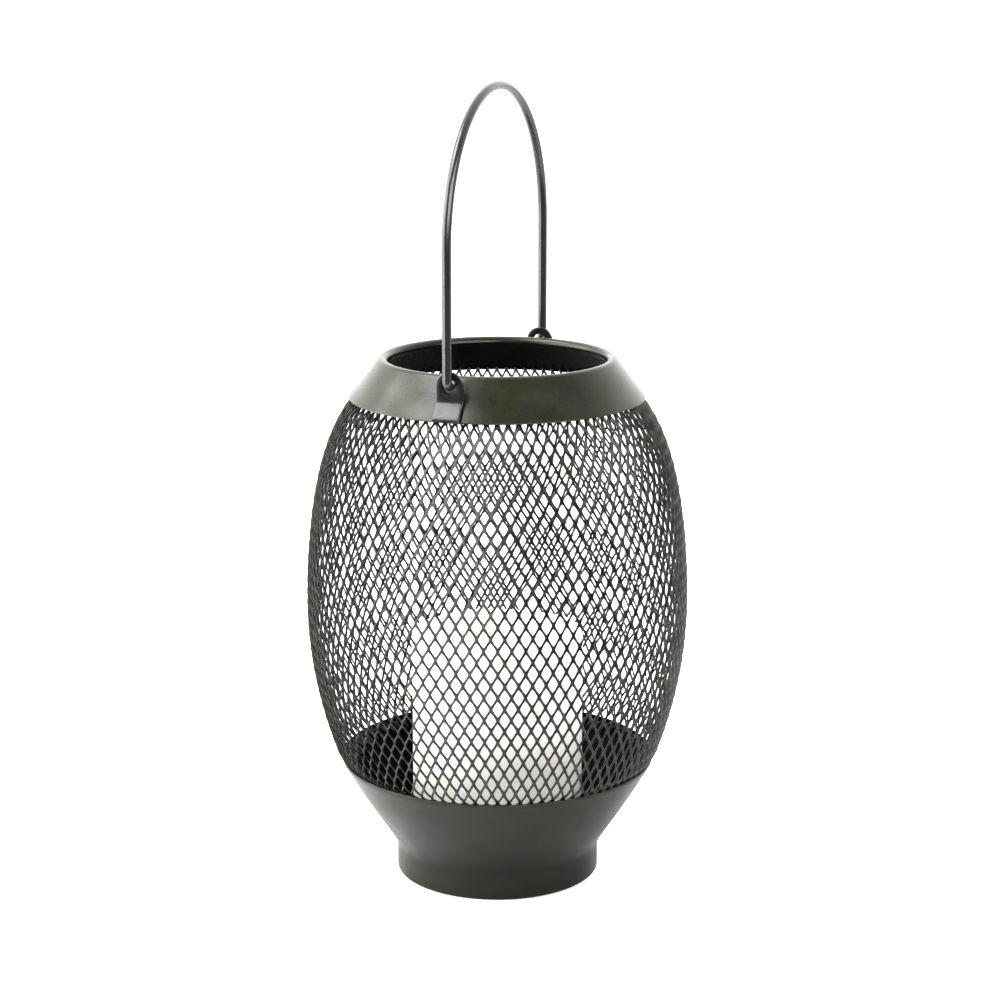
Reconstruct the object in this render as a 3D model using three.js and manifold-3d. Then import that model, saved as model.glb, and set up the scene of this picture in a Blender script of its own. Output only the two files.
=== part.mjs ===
// Barrel lantern: a spun steel base and collar joined by an expanded-metal cage, with a
// swinging wire bail and a loose flameless pillar candle inside.
// Millimetres, +Z up. The origin is the centre of the foot's resting face, and the two
// ears that carry the bail stand on the X axis.
import * as THREE from 'three';
import { mergeVertices } from 'three/addons/utils/BufferGeometryUtils.js';
import Module from 'manifold-3d';

const wasm = await Module();
wasm.setup();

// ---------------------------------------------------------------- driving dimensions
const GAP = 0.3; // clearance kept between neighbours that touch
const SHEET = 1.0; // thickness of the spun steel sheet
const ROUND = 48; // sides of a large round piece
const SMALL_ROUND = 20; // sides of a small round piece

// Base bowl
const FOOT_R = 45;
const FOOT_HEM = 3.5; // width of the flat hem that the lantern stands on
const FOOT_BAND_Z = 10.5; // top of the upright foot band
const BASE_RIM_R = 69.6;
const BASE_RIM_Z = 52.9;
const PLATE_TOP_Z = 8.4; // the floor that the candle stands on

// Expanded-metal cage
const BELLY_R = 84;
const BELLY_Z = 124;
const CAGE_BOTTOM_Z = 49;
const CAGE_TOP_Z = 219;
const CAGE_THICK = 0.9;
const CAGE_TOP_REACH = 90.8; // height above the belly over which the barrel draws in
const CAGE_BOTTOM_REACH = 70.5; // depth below the belly over which it draws in
const CAGE_BAND = 1.2; // height of the plain edge that is tucked into base and collar
const DIAMONDS_AROUND = 28;
const HALF_ROWS = 10; // rows of strands between the two edges
const STRAND_WIDTH = 2.2;

// Collar
const COLLAR_BOTTOM_R = 64.7;
const COLLAR_BOTTOM_Z = 215.4;
const COLLAR_SLOPE = THREE.MathUtils.degToRad(38.3); // how far its wall leans from upright
const LIP_CENTRE_R = 50;
const LIP_CENTRE_Z = 230.2;
const LIP_ROLL_R = 2.6;

// Ears and bail
const PIVOT_Z = 230;
const EAR_WIDTH = 12;
const EAR_THICK = 1.5;
const EAR_INNER_X = 58.85;
const EAR_HOLE_R = 2.9;
const EAR_BEND_INNER_Z = 223.3; // where the strap's inner face turns from tab to foot
const EAR_BEND_OUTER_Z = 223.6;
const WIRE_R = 2;
const BAIL_LEG_X = 63;
const BAIL_TOP_Z = 348.5; // centre of the wire at the top of the arch
const BAIL_PIN_END_X = 56.6;

// Flameless pillar candle, measured up from its own underside
const CANDLE_Z = PLATE_TOP_Z + GAP;
const CANDLE_R = 38.1;
const CANDLE_HEIGHT = 101.6;
const WAX_WALL = 6;
const WAX_EDGE_R = 2.5; // rounding of the candle's top edge
const DISH_FLOOR_Z = 90; // bottom of the dish in the candle's top
const DISH_THICK = 6;
const FLAME_HOLE_R = 5.6;
const CORE_BOTTOM_Z = 0.8;
const CORE_TOP_Z = 66;
const CORE_R = CANDLE_R - WAX_WALL - GAP;
const POST_R = 8;
const POST_TOP_Z = 82.7;
const CELL_R = 7.25;
const CELL_LENGTH = 50.5;
const CELL_OFFSET_X = 8.6;
const CELL_BOTTOM_Z = 4;
const COVER_R = 18.6;
const COVER_TOP_Z = 3;
const LUG_REACH = 1.6;
const FIT = 0.35; // clearance of the cells and the cover in the core
const SWITCH_Y = 25.5;
const SWITCH_TRAVEL = 4;
const KNOB_HALF_X = 1.8;
const KNOB_HALF_Y = 1.6;
const BOARD_LOW = [-8.6, 22, 13]; // lowest corner of the circuit board
const BOARD_HIGH = [8.6, 28.4, 14.2];
const CHIP_LOW = [-7.6, 23, 10.9]; // the chip hangs below the board
const CHIP_HIGH = [-5, 27, 12.7];
const SWITCH_HALF_X = 4.6;
const SWITCH_HALF_Y = 2.6;
const SWITCH_BOTTOM_Z = 5.4;
const LED_WIRE_X = 1.1;
const LED_BORE_R = 3.2;

// ---------------------------------------------------------------- materials
const PAINT = { color: 0x34352f, roughness: 0.42, metalness: 0.55 };
const WIRE_PAINT = { color: 0x2b2c28, roughness: 0.38, metalness: 0.55 };
const WAX = { color: 0xf3efe4, roughness: 0.6, metalness: 0 };
const FLAME_PLASTIC = { color: 0xf6dfa8, roughness: 0.35, metalness: 0 };
const CORE_PLASTIC = { color: 0xe9e7e0, roughness: 0.5, metalness: 0 };
const CELL_JACKET = { color: 0x3c4a52, roughness: 0.35, metalness: 0.3 };
const SPRING_STEEL = { color: 0xc4c6c8, roughness: 0.3, metalness: 0.9 };
const BOARD_GREEN = { color: 0x2f6b3c, roughness: 0.5, metalness: 0 };
const CHIP_BLACK = { color: 0x1c1c1e, roughness: 0.5, metalness: 0 };
const LED_LENS = { color: 0xf7e9b5, roughness: 0.15, metalness: 0 };
const SWITCH_BLACK = { color: 0x222224, roughness: 0.45, metalness: 0 };
const WIRE_RED = { color: 0x9c2b26, roughness: 0.5, metalness: 0 };

function piece(name, geometry, finish) {
  const mesh = new THREE.Mesh(geometry, new THREE.MeshStandardMaterial(finish));
  mesh.name = name;
  return mesh;
}

// ---------------------------------------------------------------- shape helpers
// A solid of revolution about Z from [radius, height] points in order round its section.
function revolve(profile, sides, closed = true) {
  const points = profile.map(([r, z]) => new THREE.Vector2(r, z));
  if (closed) points.push(points[0].clone());
  return new THREE.LatheGeometry(points, sides).rotateX(Math.PI / 2);
}

// [radius, height] points along an arc about (r, z), from one angle to another in degrees.
function arcPoints(r, z, radius, from, to, steps) {
  const points = [];
  for (let i = 0; i <= steps; i += 1) {
    const angle = THREE.MathUtils.degToRad(from + ((to - from) * i) / steps);
    points.push([r + radius * Math.cos(angle), z + radius * Math.sin(angle)]);
  }
  return points;
}

// An upright cylinder from one height to another.
function cylinder(radius, bottom, top, sides = SMALL_ROUND, x = 0, y = 0) {
  const geometry = new THREE.CylinderGeometry(radius, radius, top - bottom, sides);
  return geometry.rotateX(Math.PI / 2).translate(x, y, (bottom + top) / 2);
}

// A box given by its lowest and highest corners.
function box(low, high) {
  const geometry = new THREE.BoxGeometry(high[0] - low[0], high[1] - low[1], high[2] - low[2]);
  const centre = low.map((value, axis) => (value + high[axis]) / 2);
  return geometry.translate(...centre);
}

// A round wire along a curve.
function wire(curve, radius, sides, steps) {
  const section = new THREE.Shape();
  section.absarc(0, 0, radius, 0, Math.PI * 2);
  return new THREE.ExtrudeGeometry(section, {
    extrudePath: curve,
    steps,
    curveSegments: sides,
    bevelEnabled: false,
  });
}

function toSolid(geometry) {
  const bare = geometry.index ? geometry.toNonIndexed() : geometry.clone();
  bare.deleteAttribute('normal');
  bare.deleteAttribute('uv');
  const merged = mergeVertices(bare, 1e-4);
  const vertProperties = new Float32Array(merged.attributes.position.array);
  const triVerts = new Uint32Array(merged.index.array);
  return new wasm.Manifold(new wasm.Mesh({ numProp: 3, vertProperties, triVerts }));
}

function toGeometry(solid) {
  const mesh = solid.getMesh();
  const geometry = new THREE.BufferGeometry();
  geometry.setAttribute('position', new THREE.BufferAttribute(mesh.vertProperties, 3));
  geometry.setIndex(new THREE.BufferAttribute(mesh.triVerts, 1));
  geometry.computeVertexNormals();
  return geometry;
}

function joined(...geometries) {
  return geometries.map(toSolid).reduce((whole, next) => whole.add(next));
}

// ---------------------------------------------------------------- base
function baseBowl() {
  const inner = FOOT_R - SHEET;
  const outside = [
    [FOOT_R - FOOT_HEM, 0],
    [FOOT_R - 0.8, 0],
    [FOOT_R, 0.8],
    [FOOT_R, FOOT_BAND_Z],
    [45.4, 12.8],
    [46.7, 15.8],
    [49.6, 20.3],
    [56.2, 30.2],
    [62.7, 40.4],
    [BASE_RIM_R, 52.4],
    [BASE_RIM_R - 0.4, BASE_RIM_Z],
  ];
  const inside = [
    [BASE_RIM_R - 1.1, BASE_RIM_Z],
    [61.6, 40.9],
    [55.3, 31],
    [48.7, 21],
    [45.6, 16],
    [44.3, 13],
    [inner, FOOT_BAND_Z],
    [inner, SHEET],
    [FOOT_R - FOOT_HEM, SHEET],
  ];
  return piece('base_bowl', revolve([...outside, ...inside], ROUND), PAINT);
}

// The pressed floor pan inside the foot, with its flange turned down.
function candlePlate() {
  const edge = FOOT_R - SHEET - GAP;
  const flangeBottom = PLATE_TOP_Z - 4;
  const profile = [
    [0, PLATE_TOP_Z - SHEET],
    [edge - SHEET, PLATE_TOP_Z - SHEET],
    [edge - SHEET, flangeBottom],
    [edge, flangeBottom],
    [edge, PLATE_TOP_Z - 0.6],
    [edge - 0.6, PLATE_TOP_Z],
    [0, PLATE_TOP_Z],
  ];
  return piece('candle_plate', revolve(profile, ROUND, false), PAINT);
}

// ---------------------------------------------------------------- cage
// Outer radius of the barrel at a height: a parabola that tightens towards each end.
function cageRadius(z) {
  if (z > BELLY_Z) {
    const reach = (z - BELLY_Z) / CAGE_TOP_REACH;
    return BELLY_R - 13.4 * reach ** 2 - 7.2 * reach ** 6;
  }
  const reach = (BELLY_Z - z) / CAGE_BOTTOM_REACH;
  return BELLY_R - 13.6 * reach ** 2 - 2.2 * reach ** 12;
}

// A lattice of diamonds wrapped round the barrel. Strands cross at junctions, each row of
// junctions being turned half a diamond from the row below. A junction's four tips are the
// nearest points of the openings on its four sides.
function meshCage() {
  const positions = [];
  const triangles = [];
  const known = new Map();
  const pitch = (Math.PI * 2) / DIAMONDS_AROUND;
  const rowHeight = (CAGE_TOP_Z - CAGE_BOTTOM_Z - 2 * CAGE_BAND) / HALF_ROWS;

  function tip(column, row, side, layer) {
    const z = CAGE_BOTTOM_Z + CAGE_BAND + row * rowHeight;
    const halfPitch = (pitch * cageRadius(z)) / 2;
    const strand = Math.hypot(halfPitch, rowHeight);
    const upward = (STRAND_WIDTH * strand) / (2 * halfPitch);
    const sideways = (STRAND_WIDTH * strand) / (2 * rowHeight) / cageRadius(z);
    const shift = { left: [-1, 0], right: [1, 0], up: [0, 1], down: [0, -1] }[side.split('_')[0]];
    const band = side.endsWith('_edge') ? (row === 0 ? -CAGE_BAND : CAGE_BAND) : 0;
    const height = z + shift[1] * upward + band;
    const turns = ((column + (row % 2) / 2) % DIAMONDS_AROUND) + (column < 0 ? DIAMONDS_AROUND : 0);
    const angle = turns * pitch + shift[0] * sideways;
    const key = `${turns % DIAMONDS_AROUND} ${row} ${side} ${layer}`;
    if (!known.has(key)) {
      const radius = cageRadius(height) - (layer === 'inner' ? CAGE_THICK : 0);
      known.set(key, positions.length / 3);
      positions.push(radius * Math.cos(angle), radius * Math.sin(angle), height);
    }
    return known.get(key);
  }

  // Each corner is [column, row, side]; corners run anticlockwise seen from outside.
  function face(corners) {
    const outer = corners.map((corner) => tip(...corner, 'outer'));
    const inner = corners.map((corner) => tip(...corner, 'inner'));
    for (let i = 2; i < corners.length; i += 1) {
      triangles.push(outer[0], outer[i - 1], outer[i]);
      triangles.push(inner[0], inner[i], inner[i - 1]);
    }
  }

  // The cut edge between two corners, with the material on its left seen from outside.
  function wall(from, to) {
    const [a, b] = [tip(...from, 'outer'), tip(...to, 'outer')];
    const [c, d] = [tip(...to, 'inner'), tip(...from, 'inner')];
    triangles.push(b, a, d, b, d, c);
  }

  function strands(column, row) {
    const right = column + (row % 2);
    const left = right - 1;
    face([[column, row, 'right'], [right, row + 1, 'down'], [right, row + 1, 'left'], [column, row, 'up']]);
    wall([column, row, 'right'], [right, row + 1, 'down']);
    wall([right, row + 1, 'left'], [column, row, 'up']);
    face([[column, row, 'up'], [left, row + 1, 'right'], [left, row + 1, 'down'], [column, row, 'left']]);
    wall([column, row, 'up'], [left, row + 1, 'right']);
    wall([left, row + 1, 'down'], [column, row, 'left']);
  }

  function edgeBand(column, row) {
    const next = column + 1;
    const low = (at, side) => [at, row, row === 0 ? `${side}_edge` : side];
    const high = (at, side) => [at, row, row === 0 ? side : `${side}_edge`];
    face([low(column, 'left'), low(column, 'right'), high(column, 'right'), high(column, 'left')]);
    face([low(column, 'right'), low(next, 'left'), high(next, 'left'), high(column, 'right')]);
    if (row === 0) {
      face([high(column, 'left'), high(column, 'right'), [column, row, 'up']]);
      wall(low(column, 'left'), low(column, 'right'));
      wall(low(column, 'right'), low(next, 'left'));
      wall(high(next, 'left'), high(column, 'right'));
    } else {
      face([[column, row, 'down'], low(column, 'right'), low(column, 'left')]);
      wall(high(column, 'right'), high(column, 'left'));
      wall(high(next, 'left'), high(column, 'right'));
      wall(low(column, 'right'), low(next, 'left'));
    }
  }

  for (let column = 0; column < DIAMONDS_AROUND; column += 1) {
    for (let row = 0; row < HALF_ROWS; row += 1) {
      strands(column, row);
      if (row > 0) {
        face([[column, row, 'left'], [column, row, 'down'], [column, row, 'right'], [column, row, 'up']]);
      }
    }
    edgeBand(column, 0);
    edgeBand(column, HALF_ROWS);
  }

  const geometry = new THREE.BufferGeometry();
  geometry.setAttribute('position', new THREE.Float32BufferAttribute(positions, 3));
  geometry.setIndex(triangles);
  geometry.computeVertexNormals();
  return piece('mesh_cage', geometry, PAINT);
}

// ---------------------------------------------------------------- collar
// Points up the collar's outer wall; a positive offset moves them out, square to the wall.
function collarWall(offset) {
  const wall = [
    [COLLAR_BOTTOM_R, COLLAR_BOTTOM_Z],
    [60.1, 221.1],
    [55.7, 227.1],
  ];
  return wall.map(([r, z]) => [
    r + offset * Math.cos(COLLAR_SLOPE),
    z + offset * Math.sin(COLLAR_SLOPE),
  ]);
}

function topCollar() {
  const start = THREE.MathUtils.radToDeg(COLLAR_SLOPE);
  const end = 215; // the roll ends inside the mouth, just past level
  const inside = collarWall(-SHEET);
  inside[0] = [COLLAR_BOTTOM_R - 1.1, COLLAR_BOTTOM_Z];
  const profile = [
    ...collarWall(0),
    ...arcPoints(LIP_CENTRE_R, LIP_CENTRE_Z, LIP_ROLL_R, start, end, 6),
    ...arcPoints(LIP_CENTRE_R, LIP_CENTRE_Z, LIP_ROLL_R - SHEET, end, start, 4),
    ...inside.reverse(),
  ];
  return piece('top_collar', revolve(profile, ROUND), PAINT);
}

// ---------------------------------------------------------------- ears
// A bent strap: its foot is welded down the collar's slope and its tab stands upright.
function ear(name, side) {
  const outer = collarWall(GAP + EAR_THICK);
  const inner = collarWall(GAP);
  const outerX = EAR_INNER_X + EAR_THICK;
  const top = PIVOT_Z + EAR_WIDTH / 2;
  const section = new THREE.Shape([
    new THREE.Vector2(EAR_INNER_X, top),
    new THREE.Vector2(EAR_INNER_X, EAR_BEND_INNER_Z),
    new THREE.Vector2(...inner[1]),
    new THREE.Vector2(...inner[0]),
    new THREE.Vector2(...outer[0]),
    new THREE.Vector2(...outer[1]),
    new THREE.Vector2(outerX, EAR_BEND_OUTER_Z),
    new THREE.Vector2(outerX, top),
  ]);
  const strap = new THREE.ExtrudeGeometry(section, { depth: EAR_WIDTH, bevelEnabled: false })
    .translate(0, 0, -EAR_WIDTH / 2)
    .rotateX(Math.PI / 2);

  const outline = new THREE.Shape();
  outline.moveTo(-EAR_WIDTH / 2, COLLAR_BOTTOM_Z - 1);
  outline.lineTo(EAR_WIDTH / 2, COLLAR_BOTTOM_Z - 1);
  outline.absarc(0, PIVOT_Z, EAR_WIDTH / 2, 0, Math.PI);
  const hole = new THREE.Path();
  hole.absarc(0, PIVOT_Z, EAR_HOLE_R, 0, Math.PI * 2, true);
  outline.holes.push(hole);
  const punchStart = EAR_INNER_X - 5;
  const punch = new THREE.ExtrudeGeometry(outline, {
    depth: COLLAR_BOTTOM_R + 5 - punchStart,
    curveSegments: 10,
    bevelEnabled: false,
  }).rotateX(Math.PI / 2).rotateZ(Math.PI / 2).translate(punchStart, 0, 0);

  const geometry = toGeometry(toSolid(strap).intersect(toSolid(punch)));
  if (side < 0) geometry.rotateZ(Math.PI);
  return piece(name, geometry, PAINT);
}

// ---------------------------------------------------------------- bail
function bail() {
  const archR = BAIL_LEG_X;
  const archZ = BAIL_TOP_Z - archR;
  const path = new THREE.CurvePath();
  const legLeft = new THREE.Vector3(-BAIL_LEG_X, 0, PIVOT_Z);
  const legRight = new THREE.Vector3(BAIL_LEG_X, 0, PIVOT_Z);
  const archPoints = [];
  for (let i = 0; i <= 24; i += 1) {
    const angle = Math.PI - (Math.PI * i) / 24;
    archPoints.push(new THREE.Vector3(archR * Math.cos(angle), 0, archZ + archR * Math.sin(angle)));
  }
  path.add(new THREE.LineCurve3(legLeft, archPoints[0]));
  path.add(new THREE.CatmullRomCurve3(archPoints));
  path.add(new THREE.LineCurve3(archPoints[24], legRight));
  let solid = toSolid(wire(path, WIRE_R, 5, 44));

  const pinLength = BAIL_LEG_X - BAIL_PIN_END_X;
  for (const side of [-1, 1]) {
    const pin = new THREE.CylinderGeometry(WIRE_R, WIRE_R, pinLength, 12)
      .rotateZ(Math.PI / 2)
      .translate(side * (BAIL_LEG_X - pinLength / 2), 0, PIVOT_Z);
    const elbow = new THREE.SphereGeometry(WIRE_R * 1.02, 12, 8)
      .translate(side * BAIL_LEG_X, 0, PIVOT_Z);
    solid = solid.add(toSolid(pin)).add(toSolid(elbow));
  }
  return piece('bail', toGeometry(solid), WIRE_PAINT);
}

// ---------------------------------------------------------------- candle
function waxShell() {
  const inner = CANDLE_R - WAX_WALL;
  const dishR = CANDLE_R - 7;
  const profile = [
    [inner, 0],
    [CANDLE_R, 0],
    [CANDLE_R, CANDLE_HEIGHT - WAX_EDGE_R],
    [CANDLE_R - WAX_EDGE_R / 3, CANDLE_HEIGHT - WAX_EDGE_R / 3],
    [CANDLE_R - WAX_EDGE_R, CANDLE_HEIGHT],
    [dishR + 1, CANDLE_HEIGHT - 1],
    [dishR - 1, DISH_FLOOR_Z + 4],
    [dishR - 5, DISH_FLOOR_Z],
    [FLAME_HOLE_R, DISH_FLOOR_Z],
    [FLAME_HOLE_R, DISH_FLOOR_Z - DISH_THICK],
    [inner, DISH_FLOOR_Z - DISH_THICK],
  ];
  return piece('wax_shell', revolve(profile, ROUND), WAX);
}

// Moulded insert: two cell wells, a recess for the cover with its bayonet groove, a pocket
// for the switch board, a channel for the LED's wires and the post that holds the LED.
function candleCore() {
  const springRoom = 7;
  const wellTop = CELL_BOTTOM_Z + CELL_LENGTH + springRoom;
  const wellR = CELL_R + FIT;
  const recessR = COVER_R + FIT;
  const grooveR = COVER_R + LUG_REACH + FIT;
  const below = CORE_BOTTOM_Z - 1;
  const slotX = KNOB_HALF_X + SWITCH_TRAVEL / 2 + 1.2;
  const slotY = KNOB_HALF_Y + 0.5;
  const pocketBottom = 3.6;
  const pocketTop = BOARD_HIGH[2] + 0.8;
  const channelY = (BOARD_LOW[1] + BOARD_HIGH[1]) / 2 - 0.6;
  const channelHalf = 2;
  const roof = CORE_TOP_Z + 0.5;
  let core = joined(
    cylinder(CORE_R, CORE_BOTTOM_Z, CORE_TOP_Z, 40),
    cylinder(POST_R, CORE_TOP_Z - 1, POST_TOP_Z),
  );
  const cuts = [
    cylinder(recessR, below, CELL_BOTTOM_Z, 40),
    cylinder(wellR, CELL_BOTTOM_Z - 1, wellTop, SMALL_ROUND, -CELL_OFFSET_X),
    cylinder(wellR, CELL_BOTTOM_Z - 1, wellTop, SMALL_ROUND, CELL_OFFSET_X),
    box([-slotX, SWITCH_Y - slotY, below], [slotX, SWITCH_Y + slotY, pocketBottom + 0.4]),
    box(
      [BOARD_LOW[0] - 0.4, BOARD_LOW[1] - 0.4, pocketBottom],
      [BOARD_HIGH[0] + 0.4, BOARD_HIGH[1] + 0.4, pocketTop],
    ),
    box(
      [-channelHalf, channelY - channelHalf, pocketTop - 1],
      [channelHalf, channelY + channelHalf, CORE_TOP_Z + 1],
    ),
    cylinder(LED_BORE_R, roof, POST_TOP_Z + 1, 12),
    box([-channelHalf, 0, roof], [channelHalf, POST_R + 1, CORE_TOP_Z + 4]),
  ];
  for (const cut of cuts) core = core.subtract(toSolid(cut));
  core = core.subtract(bayonetSector(grooveR, 1.8, 3.2, -7, 37));
  core = core.subtract(bayonetSector(grooveR, below, 2, 23, 37));
  return piece('candle_core', toGeometry(core), CORE_PLASTIC);
}

// Two opposite ring sectors about Z, used for the cover's lugs and for their groove.
function bayonetSector(outerR, bottom, top, from, to) {
  const innerR = COVER_R - 2;
  const sector = new THREE.Shape();
  const [start, end] = [from, to].map(THREE.MathUtils.degToRad);
  sector.absarc(0, 0, outerR, start, end, false);
  sector.absarc(0, 0, innerR, end, start, true);
  const options = { depth: top - bottom, curveSegments: 4, bevelEnabled: false };
  const one = new THREE.ExtrudeGeometry(sector, options).translate(0, 0, bottom);
  return joined(one, one.clone().rotateZ(Math.PI));
}

function batteryCover() {
  const disc = toSolid(cylinder(COVER_R, CORE_BOTTOM_Z + 0.1, COVER_TOP_Z, 40));
  const lugs = bayonetSector(COVER_R + LUG_REACH, COVER_TOP_Z - 0.9, COVER_TOP_Z - 0.1, -5, 5);
  const coinSlot = toSolid(box([-8, -1, 0], [8, 1, COVER_TOP_Z - 1.2]));
  return piece('battery_cover', toGeometry(disc.add(lugs).subtract(coinSlot)), CORE_PLASTIC);
}

function bridgeContact() {
  const bottom = COVER_TOP_Z + GAP;
  return piece('bridge_contact', cylinder(16.6, bottom, CELL_BOTTOM_Z - GAP, 28), SPRING_STEEL);
}

// A cell stands on end; its nub is at the bottom when the cell is upside down.
function cell(name, x, upsideDown) {
  const nub = 1;
  const nubR = 2.75;
  const profile = [
    [0, 0],
    [CELL_R - 0.4, 0],
    [CELL_R, 0.4],
    [CELL_R, CELL_LENGTH - nub - 0.6],
    [CELL_R - 0.8, CELL_LENGTH - nub],
    [nubR, CELL_LENGTH - nub],
    [nubR, CELL_LENGTH],
    [0, CELL_LENGTH],
  ];
  const geometry = revolve(profile, SMALL_ROUND, false);
  if (upsideDown) geometry.rotateX(Math.PI).translate(0, 0, CELL_LENGTH);
  return piece(name, geometry.translate(x, 0, CELL_BOTTOM_Z), CELL_JACKET);
}

class Helix extends THREE.Curve {
  constructor(radius, height, turns) {
    super();
    Object.assign(this, { radius, height, turns });
  }

  getPoint(t, target = new THREE.Vector3()) {
    const angle = t * this.turns * Math.PI * 2;
    const x = this.radius * Math.cos(angle);
    const y = this.radius * Math.sin(angle);
    return target.set(x, y, this.height * t);
  }
}

function contactSpring(name, x) {
  const wireR = 0.4;
  const bottom = CELL_BOTTOM_Z + CELL_LENGTH + GAP + wireR + 0.1;
  const geometry = wire(new Helix(4.2, 5.4, 3.5), wireR, 3, 34).translate(x, 0, bottom);
  return piece(name, geometry, SPRING_STEEL);
}

function circuitBoard() {
  return piece('circuit_board', box(BOARD_LOW, BOARD_HIGH), BOARD_GREEN);
}

function controlChip() {
  return piece('control_chip', box(CHIP_LOW, CHIP_HIGH), CHIP_BLACK);
}

function switchBody() {
  const low = [-SWITCH_HALF_X, SWITCH_Y - SWITCH_HALF_Y, SWITCH_BOTTOM_Z];
  const high = [SWITCH_HALF_X, SWITCH_Y + SWITCH_HALF_Y, BOARD_LOW[2] - GAP];
  return piece('switch_body', box(low, high), SPRING_STEEL);
}

// The slider's knob reaches through the core's slot; its flange keeps it in.
function switchSlider() {
  const x = -SWITCH_TRAVEL / 2;
  const knobBottom = 1.3;
  const flangeBottom = 4.3;
  const flangeTop = SWITCH_BOTTOM_Z - GAP;
  const flangeHalf = 3.4;
  const knob = box(
    [x - KNOB_HALF_X, SWITCH_Y - KNOB_HALF_Y, knobBottom],
    [x + KNOB_HALF_X, SWITCH_Y + KNOB_HALF_Y, flangeBottom + 0.1],
  );
  const flange = box(
    [x - flangeHalf, SWITCH_Y - SWITCH_HALF_Y, flangeBottom],
    [x + flangeHalf, SWITCH_Y + SWITCH_HALF_Y, flangeTop],
  );
  return piece('switch_slider', toGeometry(joined(knob, flange)), SWITCH_BLACK);
}

// One of the LED's two insulated wires: up its channel, over the core's roof and up the post.
function ledWire(name, x) {
  const route = [[24.6, 14.6], [24.6, 40], [24.6, 64], [22.6, 68], [16, 68.4], [6, 68.4]];
  route.push([1.4, 69.6], [0, 74], [0, 79.4]);
  const curve = new THREE.CatmullRomCurve3(route.map(([y, z]) => new THREE.Vector3(x, y, z)));
  return piece(name, wire(curve, 0.5, 3, 20), WIRE_RED);
}

function led() {
  const foot = POST_TOP_Z + GAP;
  const profile = [
    [0, foot],
    [2.8, foot],
    [2.8, foot + 1],
    [2.4, foot + 1],
    [2.4, foot + 3.6],
    [1.7, foot + 5.2],
    [0, foot + 6],
  ];
  const lens = revolve(profile, 14, false);
  const leads = [-LED_WIRE_X, LED_WIRE_X].map((x) => cylinder(0.3, foot - 3, foot + 0.2, 6, x));
  return piece('led', toGeometry(joined(lens, ...leads)), LED_LENS);
}

// A hollow plastic flame that stands over the LED.
function flameTip() {
  const foot = POST_TOP_Z + GAP;
  const bore = [[0, 93.4], [2.4, 92], [3.4, 89.5], [3.4, foot]];
  const outside = [[5.2, foot], [5.2, 91], [4.6, 94.5], [3.1, 97.5], [1.2, 99.6], [0, 100.2]];
  return piece('flame_tip', revolve([...bore, ...outside], 16, false), FLAME_PLASTIC);
}

// ---------------------------------------------------------------- assembly
const candle = new THREE.Group();
candle.add(
  waxShell(),
  candleCore(),
  batteryCover(),
  bridgeContact(),
  cell('battery_1', -CELL_OFFSET_X, true),
  cell('battery_2', CELL_OFFSET_X, false),
  contactSpring('contact_spring_1', -CELL_OFFSET_X),
  contactSpring('contact_spring_2', CELL_OFFSET_X),
  circuitBoard(),
  controlChip(),
  switchBody(),
  switchSlider(),
  ledWire('led_wire_1', -LED_WIRE_X),
  ledWire('led_wire_2', LED_WIRE_X),
  led(),
  flameTip(),
);
candle.position.z = CANDLE_Z;

const lantern = new THREE.Group();
lantern.add(
  baseBowl(),
  candlePlate(),
  meshCage(),
  topCollar(),
  ear('ear_left', -1),
  ear('ear_right', 1),
  bail(),
  candle,
);

export default lantern;
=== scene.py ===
"""Looks of the barrel lantern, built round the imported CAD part.

Metres in Blender. The shape constants below are in millimetres, in the part's own frame: the origin
is the middle of the foot's resting face, +Z is up and the two ears stand on the X axis.
"""

import math

import bmesh
import bpy
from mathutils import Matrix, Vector


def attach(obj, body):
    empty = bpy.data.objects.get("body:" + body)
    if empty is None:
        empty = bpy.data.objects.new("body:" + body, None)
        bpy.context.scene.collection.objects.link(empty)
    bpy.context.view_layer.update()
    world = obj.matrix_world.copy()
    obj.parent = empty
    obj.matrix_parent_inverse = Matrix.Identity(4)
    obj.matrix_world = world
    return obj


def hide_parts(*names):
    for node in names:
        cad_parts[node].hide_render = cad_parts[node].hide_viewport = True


MM = 0.001

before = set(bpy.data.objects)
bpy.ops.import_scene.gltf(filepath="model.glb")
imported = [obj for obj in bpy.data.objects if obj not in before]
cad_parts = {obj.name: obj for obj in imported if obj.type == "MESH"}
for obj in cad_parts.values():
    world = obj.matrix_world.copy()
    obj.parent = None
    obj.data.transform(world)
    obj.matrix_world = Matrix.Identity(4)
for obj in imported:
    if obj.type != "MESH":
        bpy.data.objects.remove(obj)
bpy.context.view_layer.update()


# ---------------------------------------------------------------- camera
CAMERA_TURN = math.radians(-71.07)
CAMERA_PITCH = math.radians(13.35)
CAMERA_ROLL = math.radians(0.02)
CAMERA_PLACE = (-1.0017, -0.3449, 0.4201)
CAMERA_LENS = 89.49

camera_data = bpy.data.cameras.new("camera")
camera_data.lens = CAMERA_LENS
camera_data.sensor_width = 36
camera = bpy.data.objects.new("camera", camera_data)
bpy.context.scene.collection.objects.link(camera)
camera.location = CAMERA_PLACE
camera.rotation_euler = (math.pi / 2 - CAMERA_PITCH, CAMERA_ROLL, CAMERA_TURN)
bpy.context.scene.camera = camera


# ---------------------------------------------------------------- dimensions, mm
FOOT_R = 45
SHEET = 1.0

PAN_TOP_Z = 8.4

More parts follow.
